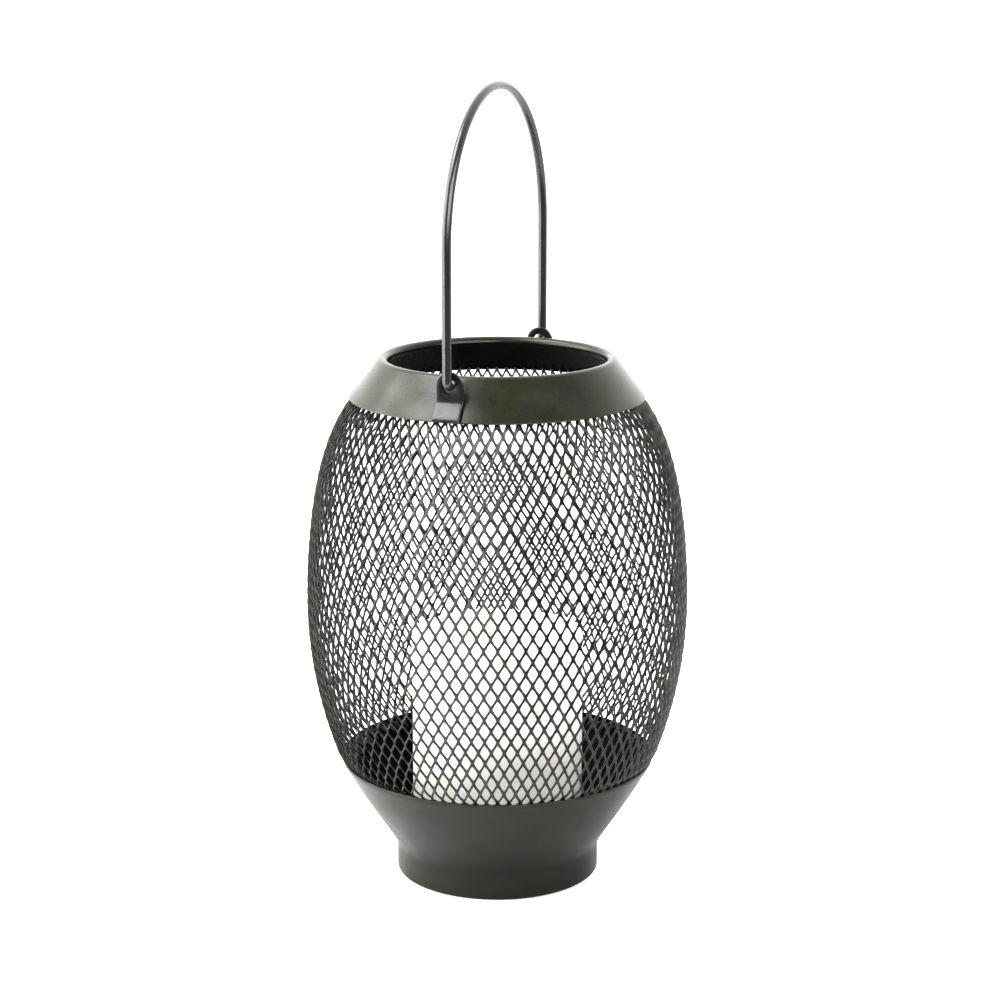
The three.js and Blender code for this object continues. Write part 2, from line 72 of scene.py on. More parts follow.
BELLY_R, BELLY_Z = 84, 124  # the cage where it is widest
MESH_AROUND = 90  # diamonds round the cage
MESH_ROWS = range(-1, 33)  # rows of bonds; row 0 sits at the base's rim
MESH_ROW_Z = 53.18
MESH_ROW_PITCH = 5.09
MESH_LOW_Z, MESH_HIGH_Z = 49.6, 218.7
MESH_FIRST_ANGLE = math.radians(3)
MESH_TILT = 0.45  # how far a bond's edges lean out and in
MESH_THICK = 0.6
MESH_INSET = 0.07  # keeps the leaning edges inside the barrel's outer radius
STRAND_HALF = 0.33
BOND_HALF_WIDTH = 0.6
BOND_SIDE_HALF = 0.35
BOND_TIP = 1.3

COLLAR_SLOPE = math.radians(38.3)
LIP_R, LIP_Z, LIP_ROLL = 50, 230.2, 2.6

PIVOT_Z = 230
EAR_HALF = 6
EAR_THICK = 1.5
EAR_HOLE_R = 2.9
EAR_INNER_X = 58.85
EAR_LOWER = 3.6  # how far below the pivot the bored plate ends and the bend starts

WIRE_R = 1.97
BAIL_X = 63
BAIL_TOP_Z = 348.4
BAIL_PIN_X = 56.6
BAIL_ELBOW_R = 2.8

CANDLE_Z = 8.7
CANDLE_R = 38.1
CANDLE_HEIGHT = 101.6

# faces past this limit get the painted-shade finish of the inner walls
INNER_FACING = -0.76  # below this cosine with the outer side's normal, a face is an inner one


# ---------------------------------------------------------------- mesh helpers
def mesh_object(name, points_mm, faces, sharp_deg=38):
    """A mesh object from points in millimetres, smooth except where faces meet at a sharp angle."""
    mesh = bpy.data.meshes.new(name)
    mesh.from_pydata([Vector(p) * MM for p in points_mm], [], faces)
    made = bmesh.new()
    made.from_mesh(mesh)
    bmesh.ops.recalc_face_normals(made, faces=made.faces)
    made.to_mesh(mesh)
    made.free()
    obj = bpy.data.objects.new(name, mesh)
    bpy.context.scene.collection.objects.link(obj)
    shade(obj, sharp_deg)
    return obj


def shade(obj, sharp_deg=38):
    """Smooth shading, with edges above the angle left sharp."""
    mesh = obj.data
    made = bmesh.new()
    made.from_mesh(mesh)
    limit = math.radians(sharp_deg)
    for face in made.faces:
        face.smooth = True
    for edge in made.edges:
        edge.smooth = len(edge.link_faces) == 2 and edge.calc_face_angle(0) < limit
    made.to_mesh(mesh)
    made.free()


def apply_modifiers(obj):
    """Bakes the object's modifiers into its mesh."""
    graph = bpy.context.evaluated_depsgraph_get()
    mesh = bpy.data.meshes.new_from_object(obj.evaluated_get(graph))
    obj.modifiers.clear()
    old = obj.data
    obj.data = mesh
    mesh.name = old.name
    bpy.data.meshes.remove(old)


def place(obj, body, material, nodes=()):
    """Rides the piece on its body and gives it its finish, hiding the nodes it replaces."""
    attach(obj, body)
    if nodes:
        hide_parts(*nodes)
    obj.data.materials.clear()
    obj.data.materials.append(material)
    return obj


def paint_shade_inside(obj, finish, rise):
    """Gives the inner side of a turned wall a second finish, for painted shade: its near-black matt
    coat stands in for the shade inside the lantern. `rise` is the outer side's normal, as its
    upward part over its outward part."""
    obj.data.materials.append(finish)
    for face in obj.data.polygons:
        outside = Vector((face.center.x, face.center.y, 0)).normalized() + Vector((0, 0, rise))
        if face.normal.dot(outside) < INNER_FACING * outside.length:
            face.material_index = 1
    return obj


def smooth_chain(points, steps):
    """A Catmull-Rom curve through (r, z) points."""
    ends = [points[0], *points, points[-1]]
    out = []
    for i in range(1, len(ends) - 2):
        p0, p1, p2, p3 = (Vector(p) for p in ends[i - 1 : i + 3])
        for s in range(steps):
            t = s / steps
            out.append(
                0.5
                * (
                    2 * p1
                    + (p2 - p0) * t
                    + (2 * p0 - 5 * p1 + 4 * p2 - p3) * t * t
                    + (3 * p1 - p0 - 3 * p2 + p3) * t**3
                )
            )
    out.append(Vector(points[-1]))
    return [tuple(p) for p in out]


def rounded_corner(before, corner, after, reach, steps=4):
    """Points round a corner, starting and ending at most `reach` from it."""
    b, c, a = Vector(before), Vector(corner), Vector(after)
    start = c + (b - c).normalized() * reach
    end = c + (a - c).normalized() * reach
    out = []
    for s in range(steps + 1):
        t = s / steps
        out.append(tuple(start * (1 - t) ** 2 + c * 2 * t * (1 - t) + end * t * t))
    return out


def arc(r, z, radius, start, end, steps):
    """(r, z) points along an arc, angles in degrees."""
    angles = [math.radians(start + (end - start) * i / steps) for i in range(steps + 1)]
    return [(r + radius * math.cos(a), z + radius * math.sin(a)) for a in angles]


def lathe(name, profile, sides, wobble=None, sharp_deg=38):
    """A turned shape from a section of (r, z) points. The section closes on itself, or on the axis
    where both of its ends lie there."""
    points, faces, rings = [], [], []
    for r, z in profile:
        if r < 1e-6:
            rings.append([len(points)] * sides)
            points.append((0, 0, z))
            continue
        rings.append(list(range(len(points), len(points) + sides)))
        for i in range(sides):
            angle = 2 * math.pi * i / sides
            rr, zz = wobble(r, z, angle) if wobble else (r, z)
            points.append((rr * math.cos(angle), rr * math.sin(angle), zz))
    on_axis = profile[0][0] < 1e-6 and profile[-1][0] < 1e-6
    pairs = list(zip(rings, rings[1:])) + ([] if on_axis else [(rings[-1], rings[0])])
    for low, high in pairs:
        for i in range(sides):
            j = (i + 1) % sides
            corners = [low[i], low[j], high[j], high[i]]
            faces.append(list(dict.fromkeys(corners)))
    return mesh_object(name, points, faces, sharp_deg)


def tube(name, path, radius, sides=24, dome=0.35):
    """A round wire along a path of points, with domed ends."""
    path = [Vector(p) for p in path]
    tangents = []
    for i in range(len(path)):
        tangents.append((path[min(i + 1, len(path) - 1)] - path[max(i - 1, 0)]).normalized())
    side = tangents[0].orthogonal().normalized()
    rings, points, faces = [], [], []

    def ring(centre, tangent, size):
        nonlocal side
        side = (side - tangent * side.dot(tangent)).normalized()
        up = tangent.cross(side)
        rings.append(list(range(len(points), len(points) + sides)))
        for i in range(sides):
            a = 2 * math.pi * i / sides
            points.append(centre + (side * math.cos(a) + up * math.sin(a)) * size)

    def dome_depth(share):
        return radius * dome * (1 - math.sqrt(1 - share**2))

    for share in (0.75, 0.94):
        ring(path[0] + tangents[0] * dome_depth(share), tangents[0], radius * share)
    for i, centre in enumerate(path):
        if i == 0:
            centre = centre + tangents[0] * radius * dome
        if i == len(path) - 1:
            centre = centre - tangents[-1] * radius * dome
        ring(centre, tangents[i], radius)
    for share in (0.94, 0.75):
        ring(path[-1] - tangents[-1] * dome_depth(share), tangents[-1], radius * share)
    for low, high in zip(rings, rings[1:]):
        for i in range(sides):
            j = (i + 1) % sides
            faces.append((low[i], low[j], high[j], high[i]))
    faces.append(tuple(rings[0]))
    faces.append(tuple(rings[-1]))
    return mesh_object(name, points, faces, 50)


# ---------------------------------------------------------------- materials
def material(name):
    """A new node material, its nodes and links, and its main shader."""
    made = bpy.data.materials.new(name)
    made.use_nodes = True
    tree = made.node_tree
    return made, tree.nodes, tree.links, tree.nodes["Principled BSDF"]


def value_noise(nodes, links, vector, scale, detail=2, rough=0.5):
    """A noise value from 0 to 1 at `scale` features a metre."""
    node = nodes.new("ShaderNodeTexNoise")
    node.inputs["Scale"].default_value = scale
    node.inputs["Detail"].default_value = detail
    node.inputs["Roughness"].default_value = rough
    links.new(vector, node.inputs["Vector"])
    return node.outputs["Fac"]


def spread(nodes, links, value, low, high, to_low, to_high):
    """Maps a value's range low..high to to_low..to_high, held at the ends."""
    node = nodes.new("ShaderNodeMapRange")
    for socket, number in (
        ("From Min", low),
        ("From Max", high),
        ("To Min", to_low),
        ("To Max", to_high),
    ):
        node.inputs[socket].default_value = number
    links.new(value, node.inputs["Value"])
    return node.outputs["Result"]


def mix_colours(nodes, links, share, first, second):
    """A colour between two, each a colour or a socket."""
    node = nodes.new("ShaderNodeMix")
    node.data_type = "RGBA"
    links.new(share, node.inputs["Factor"])
    for socket, colour in ((node.inputs[6], first), (node.inputs[7], second)):
        if isinstance(colour, tuple):
            socket.default_value = (*colour, 1)
        else:
            links.new(colour, socket)
    return node.outputs[2]


def times(nodes, links, first, second):
    """The product of two values, the second a number or a socket."""
    node = nodes.new("ShaderNodeMath")
    node.operation = "MULTIPLY"
    links.new(first, node.inputs[0])
    if isinstance(second, (int, float)):
        node.inputs[1].default_value = second
    else:
        links.new(second, node.inputs[1])
    return node.outputs[0]


def bump(nodes, links, height, distance, strength, normal=None):
    """A bump of that depth in metres."""
    node = nodes.new("ShaderNodeBump")
    node.inputs["Distance"].default_value = distance
    node.inputs["Strength"].default_value = strength
    links.new(height, node.inputs["Height"])
    if normal:
        links.new(normal, node.inputs["Normal"])
    return node.outputs["Normal"]


def object_vector(nodes):
    """The piece's own coordinates, in metres."""
    return nodes.new("ShaderNodeTexCoord").outputs["Object"]


def spun_vector(nodes, links, vector):
    """Coordinates that change with height and radius but hardly round the axis, for spun metal."""
    split = nodes.new("ShaderNodeSeparateXYZ")
    links.new(vector, split.inputs[0])
    flat = nodes.new("ShaderNodeCombineXYZ")
    links.new(split.outputs[0], flat.inputs[0])
    links.new(split.outputs[1], flat.inputs[1])
    length = nodes.new("ShaderNodeVectorMath")
    length.operation = "LENGTH"
    links.new(flat.outputs[0], length.inputs[0])
    join = nodes.new("ShaderNodeCombineXYZ")
    links.new(split.outputs[2], join.inputs[2])
    links.new(length.outputs["Value"], join.inputs[0])
    slow = nodes.new("ShaderNodeVectorMath")
    slow.operation = "SCALE"
    slow.inputs["Scale"].default_value = 0.012
    links.new(flat.outputs[0], slow.inputs[0])
    total = nodes.new("ShaderNodeVectorMath")
    total.operation = "ADD"
    links.new(join.outputs[0], total.inputs[0])
    links.new(slow.outputs[0], total.inputs[1])
    return total.outputs[0]


def paint(name, dark, olive, worn, rough, spun=False, peel=0.25, specular=0.35):
    """Baked-on lantern paint: mottled, faintly orange-peeled and a little worn along its edges.
    A spun wall also shows the faint rings of its turning."""
    made, nodes, links, shader = material(name)
    vector = object_vector(nodes)
    blotch = value_noise(nodes, links, vector, 26, 4, 0.6)
    share = spread(nodes, links, blotch, 0.36, 0.64, 0, 1)
    colour = mix_colours(nodes, links, share, dark, olive)
    point = nodes.new("ShaderNodeNewGeometry").outputs["Pointiness"]
    edge = spread(nodes, links, point, 0.515, 0.56, 0, 1)
    scuffs = value_noise(nodes, links, vector, 240, 4)
    patch = spread(nodes, links, scuffs, 0.45, 0.62, 0.15, 1)
    colour = mix_colours(nodes, links, times(nodes, links, edge, patch), colour, worn)
    shader.inputs["Specular IOR Level"].default_value = specular
    links.new(colour, shader.inputs["Base Color"])
    smudge = value_noise(nodes, links, vector, 60, 5, 0.65)
    gloss = spread(nodes, links, smudge, 0.3, 0.7, rough - 0.05, rough + 0.06)
    links.new(gloss, shader.inputs["Roughness"])
    grain = value_noise(nodes, links, vector, 1500, 2)
    normal = bump(nodes, links, grain, 0.00004, peel)
    if spun:
        rings = value_noise(nodes, links, spun_vector(nodes, links, vector), 900, 3, 0.7)
        normal = bump(nodes, links, rings, 0.00006, 0.22, normal)
    links.new(normal, shader.inputs["Normal"])
    return made


bowl_paint = paint(
    "bowl_paint",
    dark=(0.008, 0.008, 0.006),
    olive=(0.013, 0.013, 0.009),
    worn=(0.05, 0.048, 0.038),
    rough=0.37,
    spun=True,
    specular=0.25,
)
collar_paint = paint(
    "collar_paint",
    dark=(0.008, 0.009, 0.006),
    olive=(0.018, 0.021, 0.008),
    worn=(0.06, 0.058, 0.045),
    rough=0.27,
    spun=True,
)
# painted shade: the inner side of the spun walls gets a near-black colour and a faint gloss,
# standing in for the shade that falls inside the lantern
INSIDE_SHADE = (0.004, 0.004, 0.004)
bowl_inside_shade = paint("bowl_inside_shade", INSIDE_SHADE, INSIDE_SHADE, INSIDE_SHADE, rough=0.37, spun=True, specular=0.025)
collar_inside_shade = paint("collar_inside_shade", INSIDE_SHADE, INSIDE_SHADE, INSIDE_SHADE, rough=0.27, spun=True, specular=0.035)
mesh_paint = paint(
    "mesh_paint",
    dark=(0.005, 0.005, 0.004),
    olive=(0.008, 0.009, 0.006),
    worn=(0.03, 0.03, 0.024),
    rough=0.3,
    specular=0.32,
)
ear_paint = paint(
    "ear_paint",
    dark=(0.006, 0.006, 0.007),
    olive=(0.01, 0.01, 0.009),
    worn=(0.05, 0.048, 0.04),
    rough=0.28,
    specular=0.5,
)
bail_paint = paint(
    "bail_paint",
    dark=(0.06, 0.06, 0.063),
    olive=(0.075, 0.075, 0.075),
    worn=(0.12, 0.12, 0.11),
    rough=0.22,
)
bail_paint.node_tree.nodes["Principled BSDF"].inputs["Metallic"].default_value = 0.7


def wax():
    """Ivory paraffin: faintly mottled, milky below its skin, with a soft pitted grain."""
    made, nodes, links, shader = material("wax")
    vector = object_vector(nodes)
    cloud = spread(nodes, links, value_noise(nodes, links, vector, 38, 5, 0.62), 0.3, 0.7, 0, 1)
    colour = mix_colours(nodes, links, cloud, (0.88, 0.865, 0.82), (0.92, 0.91, 0.875))
    links.new(colour, shader.inputs["Base Color"])
    shader.inputs["Subsurface Weight"].default_value = 0.35
    shader.inputs["Subsurface Radius"].default_value = (0.008, 0.006, 0.004)
    shader.inputs["Subsurface Scale"].default_value = 1.0
    sheen = value_noise(nodes, links, vector, 90, 4)
    links.new(spread(nodes, links, sheen, 0.3, 0.7, 0.42, 0.58), shader.inputs["Roughness"])
    pits = value_noise(nodes, links, vector, 420, 4, 0.6)
    swell = value_noise(nodes, links, vector, 45, 2)
    normal = bump(nodes, links, pits, 0.00012, 0.2)
    links.new(bump(nodes, links, swell, 0.0012, 0.06, normal), shader.inputs["Normal"])
    return made


wax_finish = wax()


def moulded(name, low, high, rough, grain_scale=1800, depth=0.00003, metallic=0.0):
    """Moulded plastic, or plated metal if metallic, with a fine grain and slight shade changes."""
    made, nodes, links, shader = material(name)
    vector = object_vector(nodes)
    drift = spread(nodes, links, value_noise(nodes, links, vector, 70, 4), 0.32, 0.68, 0, 1)
    links.new(mix_colours(nodes, links, drift, low, high), shader.inputs["Base Color"])
    patch = value_noise(nodes, links, vector, 160, 4)
    gloss = spread(nodes, links, patch, 0.3, 0.7, rough - 0.06, rough + 0.07)
    links.new(gloss, shader.inputs["Roughness"])
    grain = value_noise(nodes, links, vector, grain_scale, 2)
    links.new(bump(nodes, links, grain, depth, 0.35), shader.inputs["Normal"])
    shader.inputs["Metallic"].default_value = metallic
    return made


flame_finish = moulded("flame_plastic", (0.9, 0.84, 0.72), (0.94, 0.9, 0.82), 0.3, 900)
core_finish = moulded("core_plastic", (0.74, 0.72, 0.66), (0.8, 0.785, 0.735), 0.46)
jacket_finish = moulded("cell_jacket", (0.035, 0.055, 0.07), (0.05, 0.075, 0.095), 0.3)
plated_finish = moulded(
    "contact_metal", (0.55, 0.55, 0.56), (0.68, 0.68, 0.69), 0.28, 2600, 0.00002, 1.0
)
board_finish = moulded("board", (0.02, 0.12, 0.045), (0.03, 0.17, 0.06), 0.4, 2400)
chip_finish = moulded("chip", (0.012, 0.012, 0.013), (0.02, 0.02, 0.021), 0.5, 2600)
lens_finish = moulded("led_lens", (0.82, 0.7, 0.4), (0.9, 0.82, 0.55), 0.16, 600)
switch_finish = moulded("switch_plastic", (0.014, 0.014, 0.015), (0.024, 0.024, 0.025), 0.42)
insulation_finish = moulded("wire_insulation", (0.27, 0.022, 0.018), (0.36, 0.035, 0.026), 0.42)


# ---------------------------------------------------------------- base bowl
def base_bowl():
    """The foot band and flared bowl in one spun sheet, with a rolled rim and a hem underneath."""
    wall = smooth_chain(
        [
            (FOOT_R, PAN_TOP_Z),
            (FOOT_R, 10.4),
            (45.35, 12.8),
            (46.7, 15.8),
            (49.6, 20.3),
            (56.2, 30.2),
            (62.7, 40.4),
            (69.3, 51.7),
        ],
        5,
    )
    inner_wall = smooth_chain(
        [
            (68.2, 52.2),
            (61.6, 40.9),
            (55.2, 31),
            (48.65, 21),
            (45.6, 16.1),
            (44.3, 13),
            (FOOT_R - SHEET, 10.4),
            (FOOT_R - SHEET, 8),
        ],
        5,
    )
    profile = [
        *rounded_corner((43.5, 0), (FOOT_R - 3.5, 0), (FOOT_R - 3.5, 1), 0.25, 2)[::-1],
        *rounded_corner((43, 0), (FOOT_R, 0), (FOOT_R, 6), 1.1, 6),
        *wall,
        *arc(68.95, 52.35, 0.5, -10, 150, 6),
        *inner_wall,
        (FOOT_R - SHEET, 1.6),
        (FOOT_R - SHEET - 0.5, SHEET),
        (FOOT_R - 3.3, SHEET),
    ]
    made = lathe("base_bowl_spun", profile, 224, sharp_deg=60)
    place(made, "lantern_body", bowl_paint, ["base_bowl"])
    # painted shade on the bowl's inner side
    return paint_shade_inside(made, bowl_inside_shade, -0.61)


def candle_plate():
    """The pressed pan inside the foot, with a raised ring that the candle stands in."""
    edge = FOOT_R - SHEET - 0.3
    top = PAN_TOP_Z
    profile = [
        (0, top),
        (20, top),
        *arc(23, top - 1.6, 1.6, 115, 65, 6),
        (26, top),
        (edge - 1.4, top),
        *rounded_corner((edge - 3, top), (edge, top), (edge, top - 3), 1.2, 5),
        (edge, 4.5),
        (edge - 0.25, 4.2),
        (edge - SHEET, 4.2),
        (edge - SHEET, top - 2),
        (edge - 1.8, top - SHEET),
        (0, top - SHEET),
    ]
    made = lathe("floor_pan", profile, 128, sharp_deg=60)
    return place(made, "lantern_body", bowl_paint, ["candle_plate"])


# ---------------------------------------------------------------- expanded-metal cage
def cage_radius(z):
    """Outer radius of the barrel at a height."""
    if z > BELLY_Z:
        reach = (z - BELLY_Z) / 90.8
        return BELLY_R - 13.4 * reach**2 - 7.2 * reach**6
    reach = (BELLY_Z - z) / 70.5
    tuck = max(0.0, (56.5 - z) / 4.2)  # the last few millimetres turn in behind the bowl's rim
    return BELLY_R - 13.5 * reach**2 - 1.9 * tuck**1.7


def cage():
    """Strands of slit and stretched sheet. Each bond has sharp tips above and below and short
    upright sides. The strands are twisted by the stretching, so that one edge of every bond
    stands out from the barrel and the other lies in."""
    pitch = 2 * math.pi / MESH_AROUND
    points, faces, known = [], [], {}

    def bond_height(row):
        z = MESH_ROW_Z + MESH_ROW_PITCH * row
        return min(max(z, MESH_LOW_Z), MESH_HIGH_Z)

    def add(key, angle, sideways, z, out):
        if key not in known:
            radius = cage_radius(z) - MESH_TILT - MESH_INSET
            known[key] = len(points)
            turned = angle + sideways / radius
            radius += out
            points.append((radius * math.cos(turned), radius * math.sin(turned), z))
        return known[key]

    corners = {
        "up": (0, BOND_TIP, 0),
        "down": (0, -BOND_TIP, 0),
        "right_up": (BOND_HALF_WIDTH, BOND_SIDE_HALF, MESH_TILT),
        "right_down": (BOND_HALF_WIDTH, -BOND_SIDE_HALF, MESH_TILT),
        "left_up": (-BOND_HALF_WIDTH, BOND_SIDE_HALF, -MESH_TILT),
        "left_down": (-BOND_HALF_WIDTH, -BOND_SIDE_HALF, -MESH_TILT),
    }

    def turns_of(column, row):
        return (column + (row % 2) / 2) % MESH_AROUND

    def corner(column, row, name):
        turns = turns_of(column, row)
        sideways, rise, out = corners[name]
        angle = MESH_FIRST_ANGLE + turns * pitch
        return add((turns, row, name), angle, sideways, bond_height(row) + rise, out)

    def middle(column, row, lean, edge):
        """A point halfway along the strand that leaves a bond upwards, to one side (lean)."""
        turns = turns_of(column, row)
        low, high = bond_height(row), bond_height(row + 1)
        z = (low + high) / 2
        radius = cage_radius(z)
        run, rise = pitch * radius / 2, high - low
        length = math.hypot(run, rise)
        side = 1 if edge == "right" else -1
        # square to the strand, towards the right-hand edge seen from outside
        sideways = lean * run / 2 + side * STRAND_HALF * rise / length
        height = z - lean * side * STRAND_HALF * run / length
        angle = MESH_FIRST_ANGLE + turns * pitch
        key = (turns, row, lean, edge)
        return add(key, angle, sideways, height, side * MESH_TILT / 2)

    last = MESH_ROWS[-1]
    for row in MESH_ROWS:
        for column in range(MESH_AROUND):
            faces.append([corner(column, row, n) for n in ("up", "left_up", "left_down", "down")])
            faces.append([corner(column, row, n) for n in ("up", "down", "right_down", "right_up")])
            if row == last:
                continue
            right = column + row % 2
            left = right - 1
            mid_r, mid_l = middle(column, row, 1, "right"), middle(column, row, 1, "left")
            start = [corner(column, row, "right_up"), corner(column, row, "up")]
            end = [corner(right, row + 1, "down"), corner(right, row + 1, "left_down")]
            faces.append([start[0], mid_r, mid_l, start[1]])
            faces.append([mid_r, end[0], end[1], mid_l])
            mid_r, mid_l = middle(column, row, -1, "right"), middle(column, row, -1, "left")
            start = [corner(column, row, "up"), corner(column, row, "left_up")]
            end = [corner(left, row + 1, "right_down"), corner(left, row + 1, "down")]
            faces.append([start[0], mid_r, mid_l, start[1]])
            faces.append([mid_r, end[0], end[1], mid_l])

    made = mesh_object("expanded_mesh", points, faces)
    thick = made.modifiers.new("thick", "SOLIDIFY")
    thick.thickness = MESH_THICK * MM
    thick.offset = -1
    apply_modifiers(made)
    shade(made, 35)
    return place(made, "lantern_body", mesh_paint, ["mesh_cage"])


# ---------------------------------------------------------------- collar
def collar_wall(offset):
    """(r, z) points up the collar's outer wall, moved out square to it by an offset."""
    wall = [(64.7, 215.4), (62.45, 218.2), (60.1, 221.1), (57.85, 224.1), (55.7, 227.1)]
    out_r, out_z = offset * math.cos(COLLAR_SLOPE), offset * math.sin(COLLAR_SLOPE)
    return [(r + out_r, z + out_z) for r, z in wall]


def collar():
    """The sloping collar, its top rolled into the round lip of the mouth."""
    start = math.degrees(COLLAR_SLOPE)
    outer = smooth_chain(collar_wall(0), 4)
    inner = smooth_chain(collar_wall(-SHEET)[::-1], 4)
    profile = [
        *outer[1:-1],
        *arc(LIP_R, LIP_Z, LIP_ROLL, start - 4, 215, 22),
        *arc(LIP_R, LIP_Z, LIP_ROLL - SHEET, 215, start, 14),
        *inner[1:-1],
        *arc(64.05, 215.75, 0.42, 215, 350, 6),
    ]
    made = lathe("collar_spun", profile, 256, sharp_deg=60)
    place(made, "lantern_body", collar_paint, ["top_collar"])
    # painted shade on the collar's inner side
    return paint_shade_inside(made, collar_inside_shade, 0.79)


# ---------------------------------------------------------------- ears
def ear(name, side, node):
    """A strap bent down on to the collar, its upright tab round-topped and bored for the wire."""
    middle_x = EAR_INNER_X + EAR_THICK / 2
    foot = collar_wall(0.3 + EAR_THICK / 2)
    run, rise = foot[0][0] - foot[2][0], foot[0][1] - foot[2][1]
    bend = (middle_x, foot[2][1] + (middle_x - foot[2][0]) * rise / run)
    line = rounded_corner((middle_x, PIVOT_Z), bend, foot[0], 1.3, 6)
    line += [tuple(Vector(line[-1]).lerp(Vector(foot[0]), t)) for t in (0.25, 0.5, 0.75, 0.97)]

    corner = math.atan2(EAR_LOWER, EAR_HALF)
    over, down, under = 24, 5, 14  # steps over the top, down each side and along the lower edge
    angles = [math.pi * i / over for i in range(over)]
    angles += [math.pi + corner * i / down for i in range(down)]
    angles += [math.pi + corner + (math.pi - 2 * corner) * i / under for i in range(under)]
    angles += [2 * math.pi - corner + corner * i / down for i in range(down)]
    points, faces, hole, rim = [], [], [], []
    for a in angles:
        c, s = math.cos(a), math.sin(a)
        reach = EAR_HALF
        if s < -1e-9:
            reach = min(EAR_HALF / max(abs(c), 1e-9), EAR_LOWER / abs(s))
        hole.append(len(points))
        points.append((middle_x, EAR_HOLE_R * c, PIVOT_Z + EAR_HOLE_R * s))
        rim.append(len(points))
        points.append((middle_x, reach * c, PIVOT_Z + reach * s))
    for i in range(len(angles)):
        j = (i + 1) % len(angles)
        faces.append((hole[i], rim[i], rim[j], hole[j]))
    previous = rim[over + down : over + down + under + 1]
    across = [points[k][1] for k in previous]
    for x, z in line:
        row = []
        for y in across:
            row.append(len(points))
            points.append((x, y, z))
        for i in range(len(row) - 1):
            faces.append((previous[i], previous[i + 1], row[i + 1], row[i]))
        previous = row
    if side < 0:
        points = [(-x, -y, z) for x, y, z in points]
    made = mesh_object(name, points, faces)
    thick = made.modifiers.new("thick", "SOLIDIFY")
    thick.thickness = EAR_THICK * MM
    thick.offset = 0
    thick.use_even_offset = True
    edge = made.modifiers.new("edge", "BEVEL")
    edge.width = 0.5 * MM
    edge.segments = 4
    edge.limit_method = "ANGLE"
    edge.angle_limit = math.radians(50)
    apply_modifiers(made)
    shade(made, 50)
    return place(made, "lantern_body", ear_paint, [node])


# ---------------------------------------------------------------- bail
def bail():
    """One wire: a half-round arch, two straight legs, and ends turned in through the ears."""
    arch_z = BAIL_TOP_Z - BAIL_X
    elbow_x, elbow_z = BAIL_X - BAIL_ELBOW_R, PIVOT_Z + BAIL_ELBOW_R
    half = [(BAIL_PIN_X, 0, PIVOT_Z), (BAIL_PIN_X + 1.5, 0, PIVOT_Z)]
    for i in range(9):
        a = math.radians(-90 + 90 * i / 8)
        half.append(
            (elbow_x + BAIL_ELBOW_R * math.cos(a), 0, elbow_z + BAIL_ELBOW_R * math.sin(a))
        )
    legs = 8
    for i in range(1, legs):
        half.append((BAIL_X, 0, elbow_z + (arch_z - elbow_z) * i / legs))
    for i in range(33):
        a = math.radians(90 * i / 32)
        half.append((BAIL_X * math.cos(a), 0, arch_z + BAIL_X * math.sin(a)))
    path = [(-x, y, z) for x, y, z in half] + half[-2::-1]
    made = tube("bail_wire", path, WIRE_R, 28, 0.5)
    return place(made, "bail_handle", bail_paint, ["bail"])


# ---------------------------------------------------------------- candle
def wax_pillar():
    """The wax: a plain wall, a melted rim and dish, and a bore from below for the works."""
    outer, inner = CANDLE_R, CANDLE_R - 6
    top = CANDLE_Z + CANDLE_HEIGHT
    floor = CANDLE_Z + 90
    foot = CANDLE_Z
    profile = [
        *rounded_corner((inner + 2, foot), (inner, foot), (inner, foot + 3), 0.4, 2)[::-1],
        *rounded_corner((outer - 5, foot), (outer, foot), (outer, foot + 5), 1.4, 5),
        *[(outer, foot + 4 + 88 * i / 22) for i in range(23)],
        *rounded_corner((outer, top - 8), (outer, top), (outer - 5, top), 2.6, 7),
        *rounded_corner((outer - 3, top), (outer - 6.2, top), (outer - 7.5, floor), 2.2, 6),
        *rounded_corner((outer - 7.4, floor + 8), (outer - 8, floor), (15, floor), 4.6, 8),
        (22, floor),
        (12, floor),
        *rounded_corner((9, floor), (5.6, floor), (5.6, floor - 3), 0.7, 4),
        (5.6, floor - 5.6),
        (6, floor - 6),
        (inner - 1, floor - 6),
        (inner, floor - 7),
        *[(inner, floor - 7 - 80 * i / 4) for i in range(1, 5)],
    ]

    def wobble(r, z, angle):
        """A hand-poured wall and a rim and dish that look melted."""
        if r <= inner + 1e-3 and z < floor - 5:
            return r, z
        wave = 0.13 * math.sin(3 * angle + 0.8) + 0.09 * math.sin(7 * angle + z * 0.05)
        melt = max(0.0, min(1.0, (z - (floor - 2)) / 10)) if r > 8 else 0.0
        dip = 0.5 * math.sin(2 * angle + 0.6) + 0.35 * math.sin(5 * angle + 2)
        return r - 0.25 + wave, z - melt * (0.9 + dip)

    made = lathe("wax_pillar", profile, 144, wobble, sharp_deg=70)
    return place(made, "candle", wax_finish, ["wax_shell"])


def flame():
    """A moulded flame with a slight lean and twist, hollow below for the lamp."""
    foot = CANDLE_Z + 83
    outside = smooth_chain(
        [
            (0, CANDLE_Z + 100.15),
            (0.7, CANDLE_Z + 99.3),
            (1.9, CANDLE_Z + 97.6),
            (3.6, CANDLE_Z + 94.8),
            (4.9, CANDLE_Z + 91.2),
            (5.15, CANDLE_Z + 88),
            (5.1, foot + 0.6),
            (4.9, foot),
        ],
        4,
    )
    bore = [(3.6, foot), (3.4, foot + 0.3), (3.4, CANDLE_Z + 89.5)]
    roof = smooth_chain([(3.4, CANDLE_Z + 89.8), (2.4, CANDLE_Z + 92), (0, CANDLE_Z + 93.4)], 4)

    def wobble(r, z, angle):
        rise = max(0.0, (z - foot - 5) / 12)
        ridge = 1 - 0.05 * rise * (1 + math.cos(3 * (angle + 0.9 * rise)))
        return r * ridge, z

    made = lathe("flame_moulding", [*outside, *bore, *roof], 40, wobble, sharp_deg=55)
    return place(made, "candle", flame_finish, ["flame_tip"])


